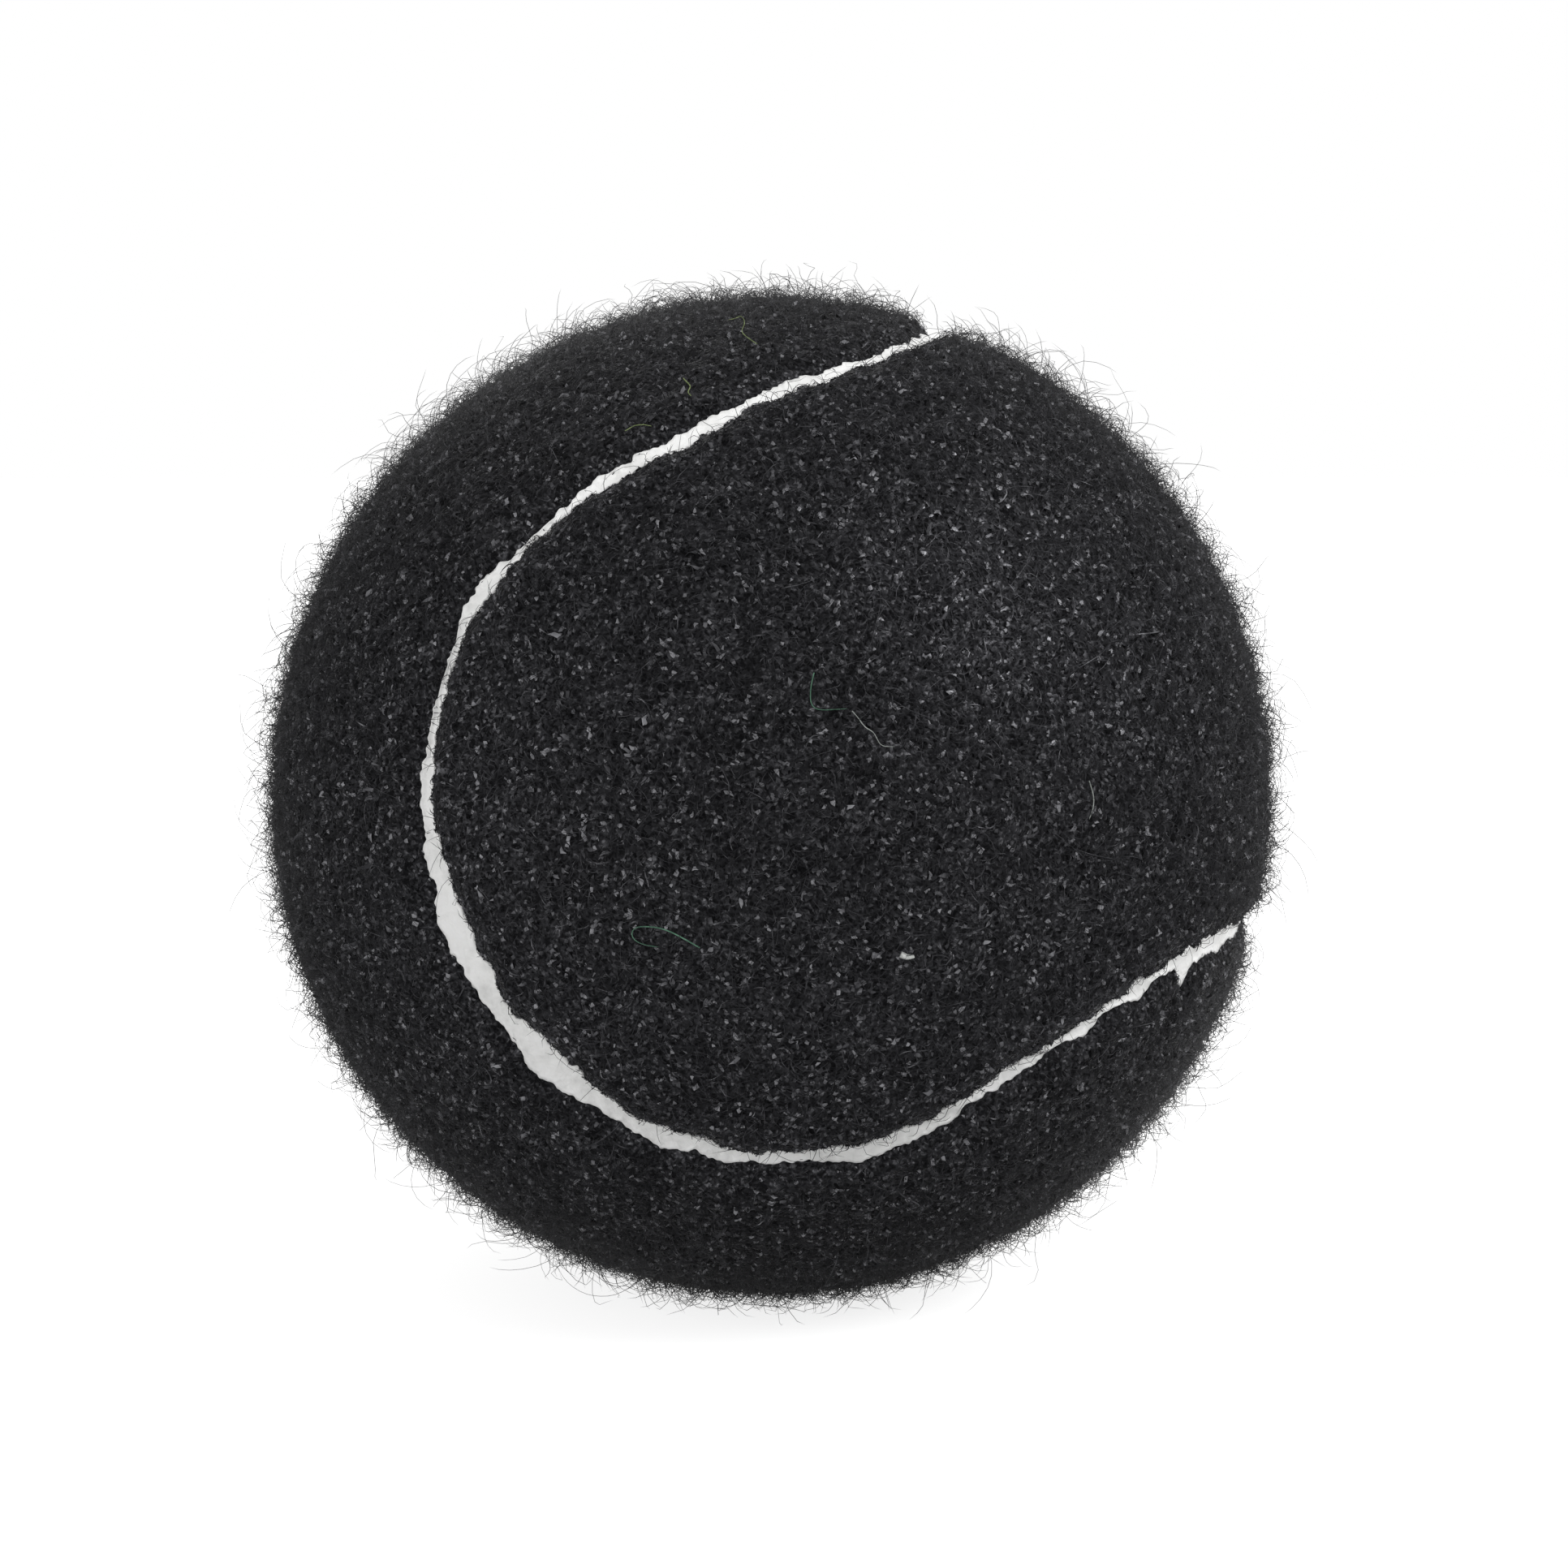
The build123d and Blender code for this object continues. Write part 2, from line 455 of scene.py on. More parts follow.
def lumps(points, size, seed):
    """A lumpy field of unit strength through space, with lumps about this size."""
    rng = np.random.default_rng(seed)
    ways = rng.normal(size=(3, LUMP_WAVES))
    lengths = size * rng.uniform(*LUMP_SPREAD, LUMP_WAVES)
    ways *= 2 * pi / lengths / np.linalg.norm(ways, axis=0)
    return np.cos(points @ ways + rng.uniform(0, 2 * pi, LUMP_WAVES)).sum(1) * sqrt(2 / LUMP_WAVES)


def unit(vectors):
    """The same ways with a length of one."""
    return vectors / np.linalg.norm(vectors, axis=-1, keepdims=True)


# %% [markdown]
# The felt body follows the ball and rolls down into the seam on both sides. It lies a little under the
# ball's outside, so that the fibres stand up to the real size. Coarse and fine lumps break its outline
# as matted wool does, and fade towards the seam, where the cloth is pressed.

# %% The felt's surface
BODY_SINK = 0.4
SEAM_DEPTH = 1.4
SHOULDER_WIDTH = 2.6
SHOULDER_LAP = 0.75
SHOULDER_CURVE = 1.8
COARSE_LUMP, COARSE_SIZE, COARSE_SEED = 0.07, 3.0, 5
FINE_LUMP, FINE_SIZE, FINE_SEED = 0.06, 1.1, 6
LUMP_AT_SEAM = 0.3


def felt_surface(directions):
    """The felt's radius here, the way out of it, the panel's side and the distance off the white."""
    along, across, way = seam_place(directions)
    left, right, centre = seam_edges(along)
    side = np.where(across > centre, 1.0, -1.0)
    beyond = np.where(side > 0, across - right, left - across)
    rise = np.clip((beyond + SHOULDER_LAP) / SHOULDER_WIDTH, 0, 1)
    points = directions * BALL_RADIUS
    coarse = COARSE_LUMP * lumps(points, COARSE_SIZE, COARSE_SEED)
    fine = FINE_LUMP * lumps(points, FINE_SIZE, FINE_SEED)
    swell = (coarse + fine) * (LUMP_AT_SEAM + (1 - LUMP_AT_SEAM) * rise)
    dip = SEAM_DEPTH * (1 - rise) ** SHOULDER_CURVE
    radius = BALL_RADIUS - BODY_SINK - dip + swell
    slope = SEAM_DEPTH / SHOULDER_WIDTH * SHOULDER_CURVE * (1 - rise) ** (SHOULDER_CURVE - 1)
    away = way * side[:, None]
    return radius, unit(directions - slope[:, None] * away), side, beyond


# %% [markdown]
# Each panel's body is a closed shell. A cube's grid, blown up to a ball, has faces of nearly one size
# and no poles. Its points nearest the seam slide onto the seam's middle, so that the two panels part
# along a clean line, and each panel keeps the faces on its own side.

# %% Felt bodies
CLOTH_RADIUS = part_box("left_panel_cloth")[1].z / MM
GRID_CELLS = 124
SLIDE_REACH = 0.45


def ball_grid(cells):
    """Directions and four-sided faces of an even grid round the ball."""
    grid = bmesh.new()
    bmesh.ops.create_cube(grid, size=2)
    bmesh.ops.subdivide_edges(grid, edges=grid.edges[:], cuts=cells - 1, use_grid_fill=True)
    grid.verts.index_update()
    spread = np.tan(np.array([v.co for v in grid.verts]) * pi / 4)
    faces = np.array([[v.index for v in face.verts] for face in grid.faces])
    grid.free()
    return unit(spread), faces


def closed_shell(faces, outer, inner):
    """Points and faces of a closed shell between two layers of one grid, over these of its faces."""
    kept, new = np.unique(faces, return_inverse=True)
    faces = new.reshape(faces.shape)
    starts, ends = faces.ravel(), np.roll(faces, -1, axis=1).ravel()
    size = len(kept)
    rim = ~np.isin(starts * size + ends, ends * size + starts)
    starts, ends = starts[rim], ends[rim]
    walls = np.stack([ends, starts, starts + size, ends + size], 1)
    points = np.concatenate([outer[kept], inner[kept]])
    return points, np.concatenate([faces, faces[:, ::-1] + size, walls])


directions, faces = ball_grid(GRID_CELLS)
along, across, way = seam_place(directions)
offset = across - seam_edges(along)[2]
step = pi / 2 / GRID_CELLS * BALL_RADIUS
near = np.abs(offset) < SLIDE_REACH * step
directions[near] -= way[near] * offset[near, None] / seam_radius
directions = unit(directions)
radius = felt_surface(directions)[0]
right_side = offset[faces].mean(1) > 0
for panel, on_it in (("left", ~right_side), ("right", right_side)):
    points, quads = closed_shell(faces[on_it], directions * radius[:, None], directions * CLOTH_RADIUS)
    new_piece(f"{panel}_felt_body", points, quads, felt)
    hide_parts(f"{panel}_panel_nap")
    print(panel, "felt body:", len(quads), "faces")

# %% [markdown]
# The seam strip is swept round the seam line with one short profile. The profile stretches between the
# two torn edges and its rims turn up, because the cement climbs the cut edges of the cloth. It climbs
# the left panel's edge further.

# %% Seam strip
STRIP_STEP = 0.1
STRIP_COLUMNS = 9
STRIP_LEVEL = BALL_RADIUS - 1.12
STRIP_ROOT = BALL_RADIUS - 2.6
RIM_RISE, RIM_CURVE = 0.08, 3
WALL_CLIMB, CLIMB_CURVE = 0.12, 2
STRIP_LUMP = 0.015
STRIP_LUMP_SIZES_AND_SEEDS = ((1.6, 7), (0.8, 8))

along = np.arange(0, seam_length, seam_length / round(seam_length / STRIP_STEP))
line, way = seam_line(along)
left, right, centre = seam_edges(along)
columns = np.linspace(-1, 1, STRIP_COLUMNS)
reach = (left[:, None] + (right - left)[:, None] * (columns + 1) / 2) / seam_radius
heading = unit(line[:, None] + way[:, None] * np.tan(reach)[:, :, None])
rim = RIM_RISE * np.abs(columns) ** RIM_CURVE
climb = WALL_CLIMB * np.clip(-columns, 0, 1) ** CLIMB_CURVE
top = heading * (STRIP_LEVEL + rim + climb)[:, None]
flat_top = top.reshape(-1, 3)
lump = STRIP_LUMP * sum(lumps(flat_top, size, seed) for size, seed in STRIP_LUMP_SIZES_AND_SEEDS)
top = top + heading * lump.reshape(len(along), -1)[:, :, None]
root = heading[:, [-1, 0]] * STRIP_ROOT
profile = np.concatenate([top, root], axis=1)
count = profile.shape[1]
rows = np.arange(len(along))[:, None] * count
following = np.roll(rows, -1)
places = np.arange(count)[None]
beside = np.roll(places, -1)
corners = [rows + places, rows + beside, following + beside, following + places]
quads = np.stack(corners, -1).reshape(-1, 4)
seam = new_piece("seam_cement_line", profile.reshape(-1, 3), quads, cement)
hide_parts("seam_strip")
print("seam strip:", len(quads), "faces")

# %% [markdown]
# A fibre bends along a circle arc with a slight wobble. Blender's own hair would draw faster, but it
# isn't a mesh and would be lost in the exported ball. All fibres of a piece are worked out at once.
# What would go through the floor is pressed flat on it, as the ball's weight does.

# %% Paths of fibres
LEAST_WAVES, RINGS_IN_A_WAVE = 0.5, 4
FLOOR_GAP = 0.19


def curl(rng, roots, out, heading, lift, sideways, length, turn, wobble, rings):
    """Paths that leave their roots at an angle of lift and bend by an angle of turn, and their axes."""
    count = len(roots)
    flat = unit(heading - (heading * out).sum(1, keepdims=True) * out)
    beside = np.cross(out, flat)
    ahead = np.cos(lift)[:, None] * flat + np.sin(lift)[:, None] * out
    up = np.cos(lift)[:, None] * out - np.sin(lift)[:, None] * flat
    bend = np.sin(sideways)[:, None] * beside - np.cos(sideways)[:, None] * up
    axis = np.cross(ahead, bend)
    share = np.linspace(0, 1, rings + 1)[None, :, None]
    angle = turn[:, None, None] * share
    size = (length / turn)[:, None, None]
    path = roots[:, None] + size * (np.sin(angle) * ahead[:, None] + (1 - np.cos(angle)) * bend[:, None])
    waves = rng.uniform(LEAST_WAVES, rings / RINGS_IN_A_WAVE, count)[:, None, None]
    phase = rng.uniform(0, 2 * pi, count)[:, None, None]
    wave = waves * 2 * pi * share + phase
    reach = wobble[:, None, None] * share * (2 - share)
    path += reach * (np.sin(wave) * axis[:, None] + np.cos(wave) * bend[:, None])
    return path, axis


def above_floor(paths):
    """The same paths, with what would go through the floor pressed flat on it."""
    paths[..., 2] = np.maximum(paths[..., 2], FLOOR_GAP - BALL_RADIUS)
    return paths


# %% [markdown]
# Round each path goes a thin tube with three sides and a pointed tip, the fewest faces that still look
# round. Across its map each tube carries its tone, which the fibre's material reads, and along it its
# length. Its normals lean from the tube's own towards straight out of the ball, so that the nap shades
# as one soft surface.

# %% Tubes for fibres
TUBE_SIDES = 3
TIP_TAPER = 0.5
TONE_LIMITS = (0.01, 0.99)
MAP_WIDTH = 0.004
MAP_MARGIN = 0.03


def tube_triangles(rings):
    """The triangles of one tube: a cap at its root, its sides from ring to ring, and its tip."""
    triangles = [(0, 2, 1)]
    for ring in range(rings - 1):
        for corner in range(TUBE_SIDES):
            here = ring * TUBE_SIDES + corner
            beside = ring * TUBE_SIDES + (corner + 1) % TUBE_SIDES
            above, above_beside = here + TUBE_SIDES, beside + TUBE_SIDES
            triangles += [(here, beside, above_beside), (here, above_beside, above)]
    tip = rings * TUBE_SIDES
    last = tip - TUBE_SIDES
    triangles += [(last + corner, last + (corner + 1) % TUBE_SIDES, tip) for corner in range(TUBE_SIDES)]
    return np.array(triangles)


def tube_map(tone, one_tube, rings):
    """The map's corners for tubes, whose tones are given for each ring and for the tip."""
    station = np.append(np.repeat(np.arange(rings), TUBE_SIDES), rings)
    across = MAP_WIDTH * np.append(np.tile([-1, 0, 1], rings), 0)
    along = np.append(np.repeat(np.arange(rings) / rings, TUBE_SIDES), 1)
    corners = np.zeros((len(tone), *one_tube.shape, 2))
    corners[..., 0] = np.clip(tone, *TONE_LIMITS)[:, station[one_tube]] + across[one_tube]
    corners[..., 1] = MAP_MARGIN + (1 - 2 * MAP_MARGIN) * along[one_tube]
    # The cap's three corners would lie on one line of the map, so one of them moves off it.
    corners[:, 0, 1, 1] += MAP_MARGIN
    return corners


def tubes(paths, axis, thickness, tone, roundness):
    """Points, triangles, map corners and normals of tubes along these paths."""
    count, stations, _ = paths.shape
    rings = stations - 1
    ahead = unit(np.gradient(paths, axis=1))
    side = unit(axis[:, None] - (axis[:, None] * ahead).sum(2, keepdims=True) * ahead)
    other = np.cross(ahead, side)
    taper = 1 - TIP_TAPER * np.linspace(0, 1, stations) ** 2
    radius = (thickness / 2)[:, None, None] * taper[None, :, None]
    angles = [2 * pi * corner / TUBE_SIDES for corner in range(TUBE_SIDES)]
    corners = [paths + radius * (cos(angle) * side + sin(angle) * other) for angle in angles]
    ring_points = np.stack(corners, 2)[:, :rings].reshape(count, rings * TUBE_SIDES, 3)
    points = np.concatenate([ring_points, paths[:, -1:]], axis=1)
    middles = np.concatenate([np.repeat(paths[:, :rings], TUBE_SIDES, axis=1), paths[:, -2:-1]], axis=1)
    normals = unit(unit(points - middles) * roundness + unit(points) * (1 - roundness))
    one_tube = tube_triangles(rings)
    first = np.arange(count) * points.shape[1]
    triangles = (one_tube[None] + first[:, None, None]).reshape(-1, 3)
    lay = tube_map(tone, one_tube, rings)
    return points.reshape(-1, 3), triangles, lay, normals.reshape(-1, 3)


# %% [markdown]
# A kind of fibre is a table of ranges: how steeply it leaves the felt, how it leans and turns, how long
# and how thick it is, and how light. Its tone is partly its own and partly shared with its neighbours,
# so that the nap is a little patchy. Fibres are shorter beside the seam, and one that would cover more
# of the white line than its kind may is left out.

# %% Helpers for the nap
ROOT_SINK = 0.04
SEAM_TRIM, TRIM_WIDTH = 0.15, 1.7
TONE_SIZE, TONE_SEED = 0.8, 21
TRIANGLES_IN_A_PIECE, TRIANGLES_IN_A_RING = 190000, 6
DEGREE = radians(1)


def clear_of_seam(paths, allowed):
    """Which paths keep off the white line, by a distance allowed for each."""
    flat = unit(paths.reshape(-1, 3))
    beyond = felt_surface(flat)[3].reshape(paths.shape[:2])
    return beyond.min(1) > -allowed


def grow(rng, directions, heading, kind):
    """Fibres of one kind at these places: their paths, axes, thicknesses, tones and panel sides."""
    count = len(directions)
    radius, out, side, beyond = felt_surface(directions)
    roots = directions * (radius - ROOT_SINK)[:, None]
    lift = DEGREE * rng.uniform(*kind["lift"], count)
    sideways = DEGREE * rng.uniform(*kind["lean"], count) * rng.choice((-1, 1), count)
    shortest, mean, longest = kind["length"]
    length = np.minimum(shortest + rng.exponential(mean - shortest, count), longest)
    if kind["trimmed"]:
        length *= SEAM_TRIM + (1 - SEAM_TRIM) * np.clip(beyond / TRIM_WIDTH, 0, 1)
    turn = DEGREE * rng.uniform(*kind["turn"], count)
    wobble = rng.uniform(0, kind["wobble"], count)
    paths, axis = curl(rng, roots, out, heading, lift, sideways, length, turn, wobble, kind["rings"])
    kept = clear_of_seam(paths, rng.uniform(*kind["overlap"], count))
    thick = rng.uniform(*kind["thickness"], count)
    tone = kind["tone"] + kind["own_tone"] * rng.normal(size=count)
    return above_floor(paths[kept]), axis[kept], thick[kept], tone[kept], side[kept]


def nap(kind):
    """Fibres of one kind all over the ball, lying every way."""
    rng = np.random.default_rng(kind["seed"])
    directions = unit(rng.normal(size=(kind["count"], 3)))
    heading = rng.normal(size=(kind["count"], 3))
    return grow(rng, directions, heading, kind)


def add_fibres(name, kind, paths, axis, thick, tone, side):
    """Makes pieces of fibres for each panel, none of them too large."""
    for panel, sign in (("left", -1), ("right", 1)):
        mine = np.flatnonzero(side == sign)
        pieces = -(-len(mine) * paths.shape[1] * TRIANGLES_IN_A_RING // TRIANGLES_IN_A_PIECE)
        for number, part in enumerate(np.array_split(mine, pieces)):
            shared = lumps(paths[part].reshape(-1, 3), TONE_SIZE, TONE_SEED).reshape(len(part), -1)
            tones = kind["patchy"] * shared + tone[part][:, None]
            points, triangles, lay, normals = tubes(
                paths[part], axis[part], thick[part], tones, kind["round"]
            )
            piece_name = f"{panel}_{name}_{number + 1}"
            new_piece(piece_name, points, triangles, fibre_black, lay, normals)
        print(panel, name, len(mine), "fibres in", pieces, "pieces")


# %% [markdown]
# Four kinds of fibre make the nap. Short thick stubs mat together all over the felt, and their own
# tones, which differ at random, give it the grain of light specks; the lightest specks are painted
# glints. Curls lie among them. Short fuzz stands out and makes the soft outline, and long fuzz
# loosens it.

# %% Nap fibres
# The stubs' wide spread of own tone reaches the lightest stops, which are painted glints.
MAT = {
    "seed": 11, "count": 86000,
    "tone": 0.525, "own_tone": 0.135, "patchy": 0.055, "round": 0.27, "lift": (15, 75), "lean": (30, 95),
    "length": (0.28, 0.44, 0.85), "turn": (60, 220), "wobble": 0.0, "thickness": (0.24, 0.38), "rings": 2,
    "overlap": (-0.05, 0.1), "trimmed": True,
}
CURL = {
    "seed": 15, "count": 8000,
    "tone": 0.5, "own_tone": 0.06, "patchy": 0.1, "round": 0.28, "lift": (20, 70), "lean": (20, 90),
    "length": (0.8, 1.3, 2.2), "turn": (80, 300), "wobble": 0.15, "thickness": (0.07, 0.12), "rings": 5,
    "overlap": (-0.05, 0.05), "trimmed": True,
}
FUZZ = {
    "seed": 12, "count": 64000,
    "tone": 0.46, "own_tone": 0.04, "patchy": 0.075, "round": 0.24, "lift": (50, 90), "lean": (0, 90),
    "length": (1.0, 1.9, 3.4), "turn": (40, 240), "wobble": 0.25, "thickness": (0.036, 0.052), "rings": 4,
    "overlap": (-0.05, 0.1), "trimmed": True,
}
LONG = {
    "seed": 16, "count": 20000,
    "tone": 0.46, "own_tone": 0.04, "patchy": 0.075, "round": 0.24, "lift": (55, 90), "lean": (0, 90),
    "length": (2.0, 3.3, 6.0), "turn": (60, 360), "wobble": 0.5, "thickness": (0.03, 0.045), "rings": 7,
    "overlap": (-0.05, 0.05), "trimmed": True,
}
for name, kind in (("mat", MAT), ("curls", CURL), ("fuzz", FUZZ), ("long_fuzz", LONG)):
    add_fibres(name, kind, *nap(kind))

# %% [markdown]
# Where the cloth was cut, short fibres lean over the white line. Their roots lie along its two edges
# and they head across it. The right panel's edge is the more frayed of the two.

# %% Frayed edges
FRAY_SEED, FRAY_COUNT = 14, 19000
FRAY_ROOTS = (-0.05, 0.3)
FRAY_RIGHT = 0.78
FRAY_SPREAD = 0.4
FRAY = {
    "tone": 0.45, "own_tone": 0.02, "patchy": 0.1, "round": 0.3, "lift": (0, 60), "lean": (0, 90),
    "length": (0.2, 0.38, 0.75), "turn": (30, 200), "wobble": 0.05, "thickness": (0.05, 0.09), "rings": 3,
    "overlap": (0.0, 0.35), "trimmed": False,
}

rng = np.random.default_rng(FRAY_SEED)
along = rng.uniform(0, seam_length, FRAY_COUNT)
line, way = seam_line(along)
left, right, centre = seam_edges(along)
on_right = rng.uniform(size=FRAY_COUNT) < FRAY_RIGHT
roots_off = rng.uniform(*FRAY_ROOTS, FRAY_COUNT)
across = np.where(on_right, right + roots_off, left - roots_off)
directions = unit(line + way * np.tan(across / seam_radius)[:, None])
heading = way * np.where(on_right, -1, 1)[:, None] + FRAY_SPREAD * rng.normal(size=(FRAY_COUNT, 3))
add_fibres("fray", FRAY, *grow(rng, directions, heading, FRAY))

# %% [markdown]
# A few strays have worked loose. They are longer and finer than the nap, and loop freely clear of the
# ball.

# %% Stray fibres
STRAY = {
    "seed": 13, "count": 800,
    "tone": 0.5, "own_tone": 0.02, "patchy": 0.1, "round": 0.3, "lift": (25, 85), "lean": (0, 75),
    "length": (3.0, 5.5, 11.0), "turn": (120, 480), "wobble": 0.7, "thickness": (0.028, 0.04),
    "rings": 16, "overlap": (-0.05, 0.0), "trimmed": True,
}
add_fibres("strays", STRAY, *nap(STRAY))

# %% [markdown]
# The ball lies on a plain white floor. To the ball it is light grey paper, so that it doesn't throw too
# much light back up. To the camera and in shiny surfaces it also glows, which brings it to white where
# no shadow lies, and leaves a soft shadow under the ball.

# %% Floor
FLOOR_SIDE = 900
FLOOR_GREY = 0.6
FLOOR_GLOW = 0.82
FLOOR_CORNERS = ((-1, -1), (1, -1), (1, 1), (-1, 1))

scene = bpy.context.scene
scene.view_settings.view_transform = "Standard"


def eye_rays(start):
    """One for what the camera sees, straight or in a shiny or clear surface, and nothing otherwise."""
    seen = start.node("ShaderNodeLightPath", output="Is Camera Ray")
    shiny = start.node("ShaderNodeLightPath", output="Is Glossy Ray")
    through = start.node("ShaderNodeLightPath", output="Is Transmission Ray")
    return start.math("MINIMUM", seen + shiny + through, 1.0)


floor_white = bpy.data.materials.new("floor_white")
floor_white.use_nodes = True
tree = floor_white.node_tree
tree.nodes.clear()
start = Shade(tree)
eye = eye_rays(start)
paper = start.node("ShaderNodeBsdfDiffuse", {}, {"Color": (FLOOR_GREY, FLOOR_GREY, FLOOR_GREY, 1)})
glow = start.node("ShaderNodeEmission", {}, {"Color": (1, 1, 1, 1), "Strength": eye * FLOOR_GLOW})
both = start.node("ShaderNodeAddShader", {}, {0: paper, 1: glow})
output = tree.nodes.new("ShaderNodeOutputMaterial")
tree.links.new(both.socket, output.inputs["Surface"])

floor_mesh = bpy.data.meshes.new("floor")
half_floor = FLOOR_SIDE / 2 * MM
floor_level = -BALL_RADIUS * MM
corners = [(x * half_floor, y * half_floor, floor_level) for x, y in FLOOR_CORNERS]
floor_mesh.from_pydata(corners, [], [(0, 1, 2, 3)])
floor_mesh.materials.append(floor_white)
floor = bpy.data.objects.new("floor", floor_mesh)
scene.collection.objects.link(floor)
print("floor", FLOOR_SIDE, "mm square")

# %% [markdown]
# The room lights the ball evenly from all sides, and the camera sees it as white. Shiny surfaces see it
# as white behind the ball and as a darker wall in front, as they would in a studio with the lights
# round the subject. That keeps the nap that faces the camera dark.

# %% Room
ROOM_LIGHT = 0.55
FRONT_WALL = 0.3
WALL_FROM, WALL_TO = -0.7, 0.5

world = bpy.data.worlds.new("bright_room")
scene.world = world
world.use_nodes = True
start = Shade(world.node_tree)
ray = start.node("ShaderNodeTexCoord", output="Generated")
backwards = start.node("ShaderNodeSeparateXYZ", {}, {"Vector": ray}, "Y")
wall = start.node(
    "ShaderNodeMapRange", {"interpolation_type": "SMOOTHSTEP"},
    {"Value": backwards, "From Min": WALL_FROM, "From Max": WALL_TO, "To Min": FRONT_WALL, "To Max": 1.0},
)
seen = start.node("ShaderNodeLightPath", output="Is Camera Ray")
room = eye_rays(start) * (start.math("MAXIMUM", wall, seen) - ROOM_LIGHT) + ROOM_LIGHT
background = world.node_tree.nodes["Background"]
background.inputs["Color"].default_value = (1, 1, 1, 1)
world.node_tree.links.new(room.socket, background.inputs["Strength"])
print("room light", ROOM_LIGHT)

# %% [markdown]
# Three soft lamps shape the ball: a key high on the right in front, a weak one above and behind, and a
# wide fill low on the left. Square area lamps are used, because their soft edges suit fuzz.

# %% Lamps
KEY_WATTS, KEY_SIDE, KEY_PLACE = 5.1, 450, (640, -380, 600)
TOP_WATTS, TOP_SIDE, TOP_PLACE = 0.2, 600, (100, 450, 650)
FILL_WATTS, FILL_SIDE, FILL_PLACE = 3.2, 800, (-800, -500, 150)


def soft_lamp(name, watts, side, place):
    """A square lamp at this place that faces the ball."""
    lamp = bpy.data.lights.new(name, "AREA")
    lamp.energy = watts
    lamp.size = side * MM
    holder = bpy.data.objects.new(name, lamp)
    holder.location = Vector(place) * MM
    holder.rotation_euler = (-holder.location).to_track_quat("-Z", "Y").to_euler()
    scene.collection.objects.link(holder)


soft_lamp("key", KEY_WATTS, KEY_SIDE, KEY_PLACE)
soft_lamp("top", TOP_WATTS, TOP_SIDE, TOP_PLACE)
soft_lamp("fill", FILL_WATTS, FILL_SIDE, FILL_PLACE)
print("lamps set")

# %% [markdown]
# The camera's distance comes from how the seam's arcs are foreshortened in the photograph, and its lens
# from how many pixels the ball spans. It aims a little off the ball's centre, because the ball isn't
# quite in the middle of the frame.

# %% Camera
PHOTO_SIDE = 1932
BALL_PIXELS = 1233
BALL_CENTRE = (950, 980)
CAMERA_DISTANCE = 400
CAMERA_RISE = radians(10)
SENSOR = 36.0
CLIP_START, CLIP_END = 0.01, 20

camera_data = bpy.data.cameras.new("camera")
camera_data.sensor_width = SENSOR
focal_pixels = BALL_PIXELS / 2 / tan(asin(BALL_RADIUS / CAMERA_DISTANCE))
camera_data.lens = SENSOR * focal_pixels / PHOTO_SIDE
camera_data.clip_start = CLIP_START
camera_data.clip_end = CLIP_END
camera = bpy.data.objects.new("camera", camera_data)
camera.location = Vector((0, -cos(CAMERA_RISE), sin(CAMERA_RISE))) * CAMERA_DISTANCE * MM
pixel = CAMERA_DISTANCE * MM / focal_pixels
right_way = Vector((1, 0, 0))
up_way = Vector((0, sin(CAMERA_RISE), cos(CAMERA_RISE)))
aim_right = right_way * (PHOTO_SIDE / 2 - BALL_CENTRE[0]) * pixel
aim_down = up_way * (PHOTO_SIDE / 2 - BALL_CENTRE[1]) * pixel
aim = aim_right - aim_down
camera.rotation_euler = (aim - camera.location).to_track_quat("-Z", "Y").to_euler()
scene.collection.objects.link(camera)
scene.camera = camera
print("lens", round(camera_data.lens, 1), "mm")

# %% [markdown]
# A ball that has been handled picks up lint. A few coloured hairs and one pale fleck lie in the outer
# fuzz where the photograph shows them. Each is a row of pixels, and each pixel is followed from the
# camera to the fuzz. The rows are smoothed into the same tubes that the fibres use.

# %% Lint
LINT_RADIUS = BALL_RADIUS + 0.5
LINT_STATIONS = 25
SMOOTHING_PASSES = 4
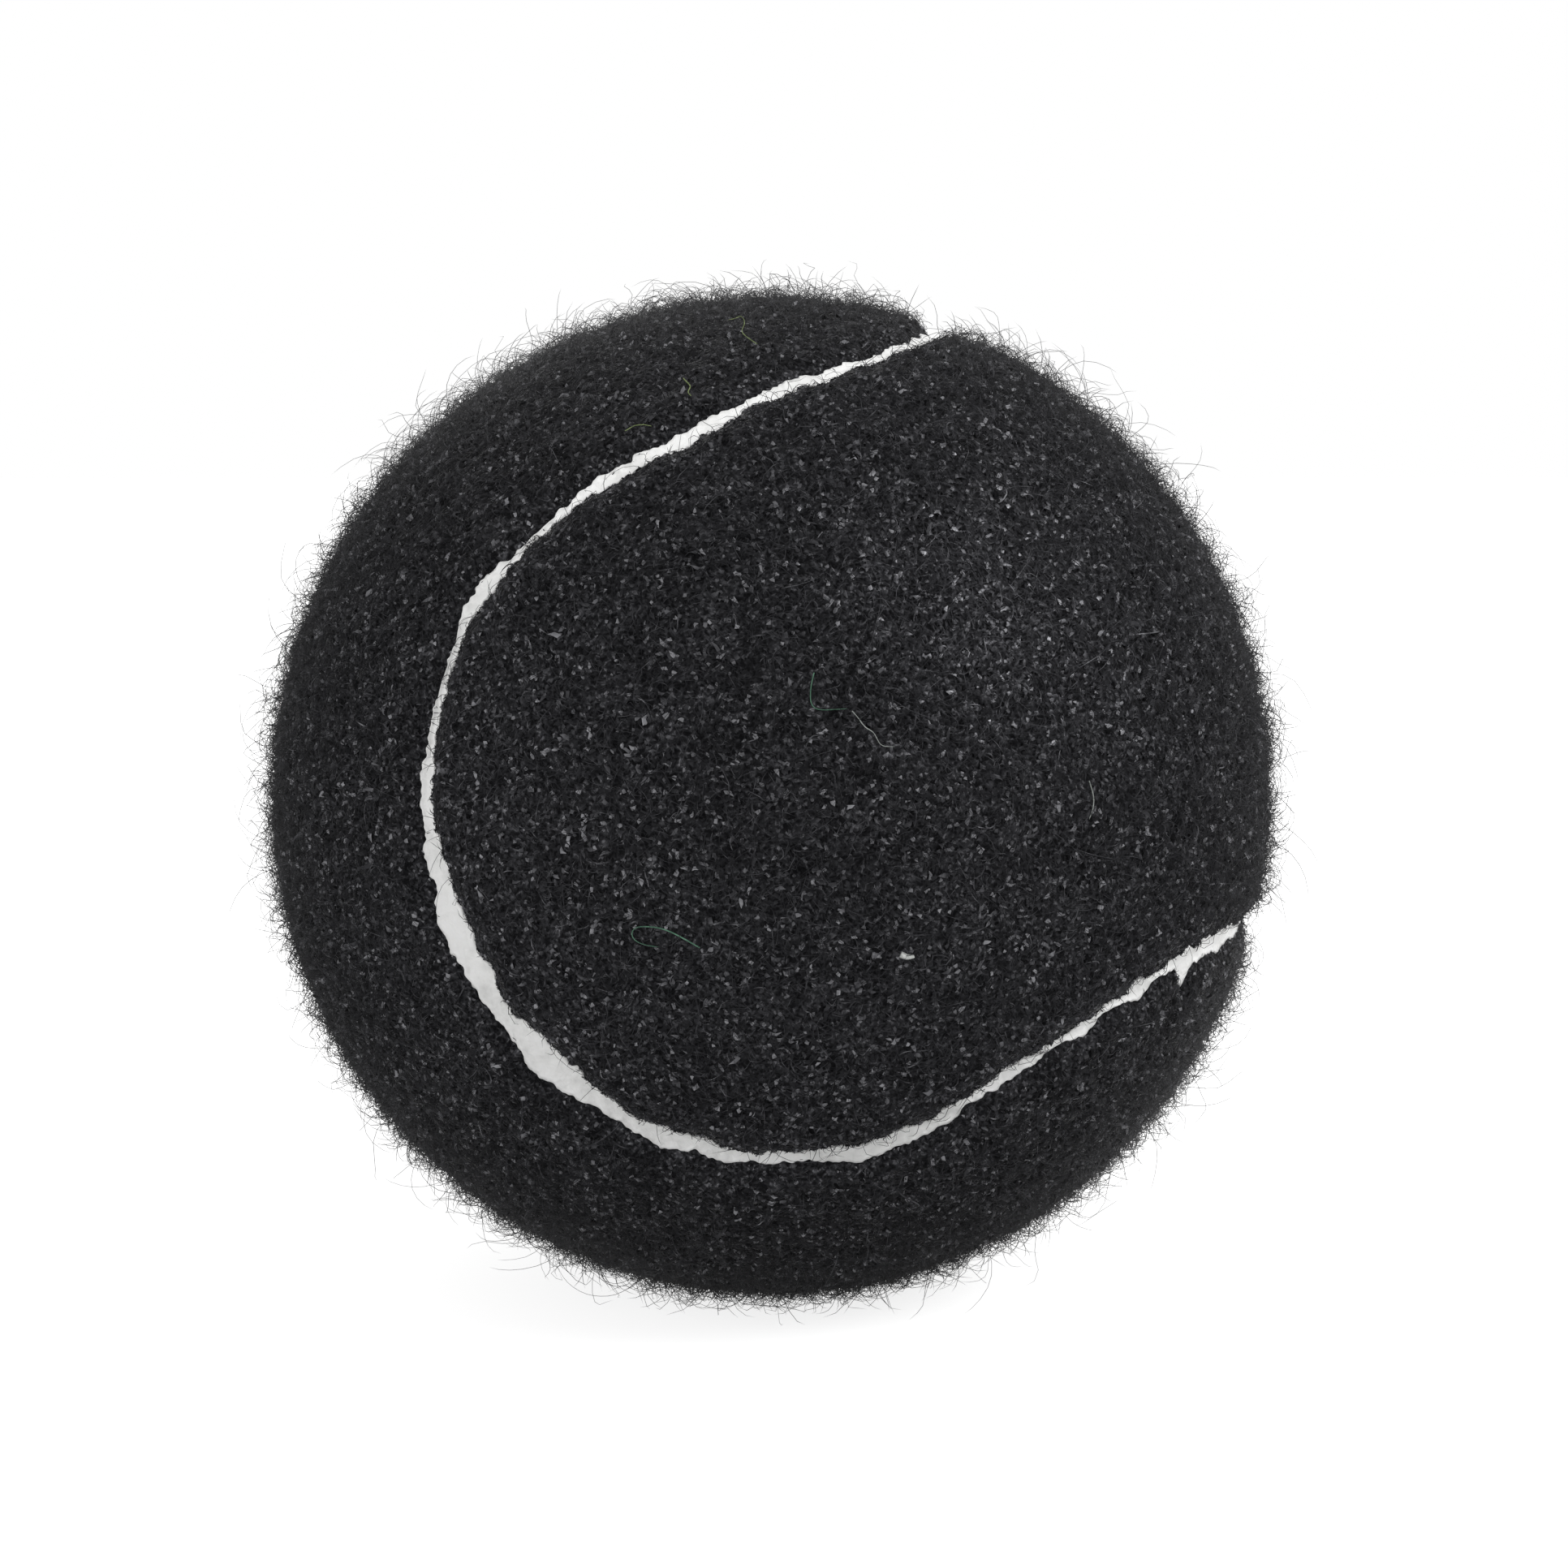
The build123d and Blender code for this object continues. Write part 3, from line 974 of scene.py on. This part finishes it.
# Lint takes its colour from its finish, so its tone is only a place in the map.
LINT_TONE = 0.5
LINT_GRAIN = {"scale": 2500.0, "roughness": 0.6, "depth": 0.00002}
GREEN, LIME, GREY, PALE = "lint_green", "lint_lime", "lint_grey", "lint_pale"
LINT_COLOURS = {
    GREEN: ((0.04, 0.115, 0.07), (0.1, 0.23, 0.15)),
    LIME: ((0.12, 0.16, 0.055), (0.27, 0.34, 0.14)),
    GREY: ((0.24, 0.26, 0.245), (0.42, 0.45, 0.425)),
    PALE: ((0.4, 0.42, 0.4), (0.65, 0.66, 0.64)),
}
LINT_FINISH = {name: mottled(name, *ends, **LINT_GRAIN) for name, ends in LINT_COLOURS.items()}
LINT_PIXELS = [
    (GREEN, 0.09, [(1003, 829), (999, 845), (998, 864), (1003, 873), (1014, 875), (1030, 874),
                   (1045, 873)]),
    (GREEN, 0.1, [(862, 1168), (845, 1158), (827, 1148), (811, 1142), (795, 1142), (784, 1141),
                  (776, 1148), (779, 1158), (790, 1164), (803, 1166), (812, 1167)]),
    (LIME, 0.07, [(933, 424), (921, 416), (912, 408), (919, 398), (914, 388), (905, 393), (897, 394)]),
    (LIME, 0.11, [(842, 466), (848, 472), (851, 476), (847, 483), (852, 488)]),
    (LIME, 0.07, [(770, 531), (782, 524), (793, 523), (803, 525)]),
    (GREY, 0.08, [(1050, 876), (1058, 885), (1066, 897), (1076, 901), (1081, 911), (1086, 920),
                  (1103, 920)]),
    (GREY, 0.1, [(1342, 962), (1346, 974), (1348, 985), (1347, 996), (1342, 1010)]),
    (PALE, 0.5, [(1110, 1177), (1118, 1180), (1127, 1179)]),
]
camera_turn = np.array(camera.rotation_euler.to_matrix())
camera_place = np.array(camera.location) / MM


def on_nap(pixels):
    """The points in the outer fuzz that these pixels of the photograph show."""
    x, y = np.array(pixels, float).T
    rays = np.stack([x - PHOTO_SIDE / 2, PHOTO_SIDE / 2 - y, np.full(len(x), -focal_pixels)], 1)
    rays = unit(rays @ camera_turn.T)
    near = -rays @ camera_place
    reach = near - np.sqrt(near ** 2 - camera_place @ camera_place + LINT_RADIUS ** 2)
    return camera_place + rays * reach[:, None]


stations = np.linspace(0, 1, LINT_STATIONS)
tone = np.full((1, LINT_STATIONS), LINT_TONE)
for number, (finish, thickness, pixels) in enumerate(LINT_PIXELS):
    knots = np.linspace(0, 1, len(pixels))
    knot_points = on_nap(pixels)
    path = np.stack([np.interp(stations, knots, knot_points[:, i]) for i in range(3)], 1)
    for _ in range(SMOOTHING_PASSES):
        path[1:-1] = (path[:-2] + 2 * path[1:-1] + path[2:]) / 4
    out = unit(path[:1])
    points, triangles, lay, _ = tubes(path[None], out, np.array([thickness]), tone, 1.0)
    new_piece(f"{finish}_{number + 1}", points, triangles, LINT_FINISH[finish], lay)
print(len(LINT_PIXELS), "pieces of lint")
